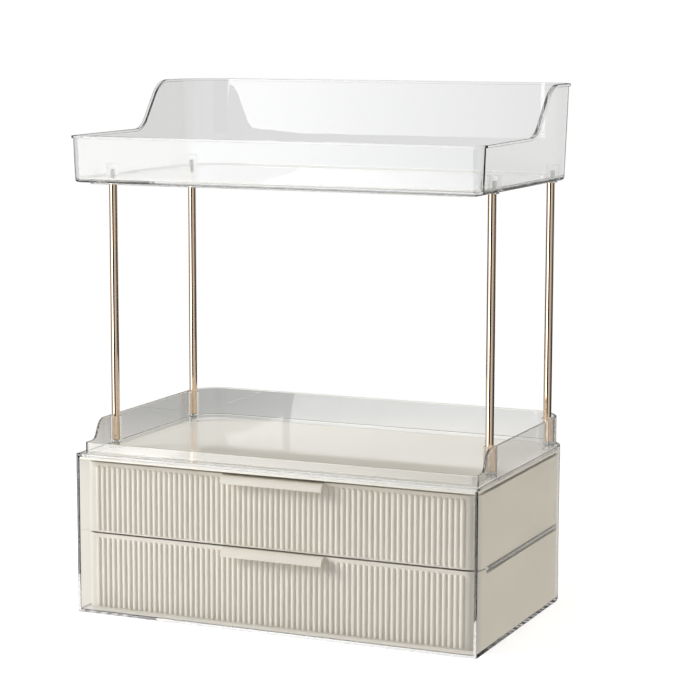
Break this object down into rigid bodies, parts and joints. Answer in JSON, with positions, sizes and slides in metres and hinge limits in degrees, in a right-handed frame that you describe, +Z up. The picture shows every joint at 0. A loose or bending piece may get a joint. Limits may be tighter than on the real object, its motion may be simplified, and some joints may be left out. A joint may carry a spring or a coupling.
{
  "type": "vanity drawer organiser",
  "caption": "Free-standing clear vanity organiser: an open-fronted case with ribbed cream drawers, a clear-walled tray on its top and a raised clear tray on metal rods.",
  "frame": {"origin": "middle of the case's base, on the surface that the organiser stands on", "axes": "+X to the viewer's right as the drawer fronts are seen, +Y from the drawer fronts to the back, +Z up"},
  "size_m": [0.3236, 0.2073, 0.391],
  "materials": {
    "clear_plastic": "water-clear moulded styrene, polished",
    "cream_plastic": "opaque cream moulded plastic, satin",
    "cream_gloss": "opaque cream moulded plastic, glossy",
    "champagne_metal": "champagne plating, polished",
    "steel": "zinc plated"
  },
  "bodies": {
    "root": {"case_shell": "clear_plastic", "mid_shelf": "clear_plastic", "lower_tray": "clear_plastic", "tray_floor_plate": "cream_gloss", "upper_tray": "clear_plastic", "rod_front_left": "champagne_metal", "rod_front_right": "champagne_metal", "rod_rear_left": "champagne_metal", "rod_rear_right": "champagne_metal", "rod_stud_front_left": "steel", "rod_stud_front_right": "steel", "rod_stud_rear_left": "steel", "rod_stud_rear_right": "steel", "rod_screw_front_left": "steel", "rod_screw_front_right": "steel", "rod_screw_rear_left": "steel", "rod_screw_rear_right": "steel"},
    "lower_drawer": {"lower_drawer_tub": "cream_plastic", "lower_drawer_front": "cream_plastic"},
    "upper_drawer": {"upper_drawer_tub": "cream_plastic", "upper_drawer_front": "cream_plastic"}
  },
  "joints": [
    {"name": "lower_drawer_slide", "type": "slide", "parent": "root", "child": "lower_drawer", "axis": [0, -1, 0], "range_m": [0, 0.145]},
    {"name": "upper_drawer_slide", "type": "slide", "parent": "root", "child": "upper_drawer", "axis": [0, -1, 0], "range_m": [0, 0.145]}
  ]
}
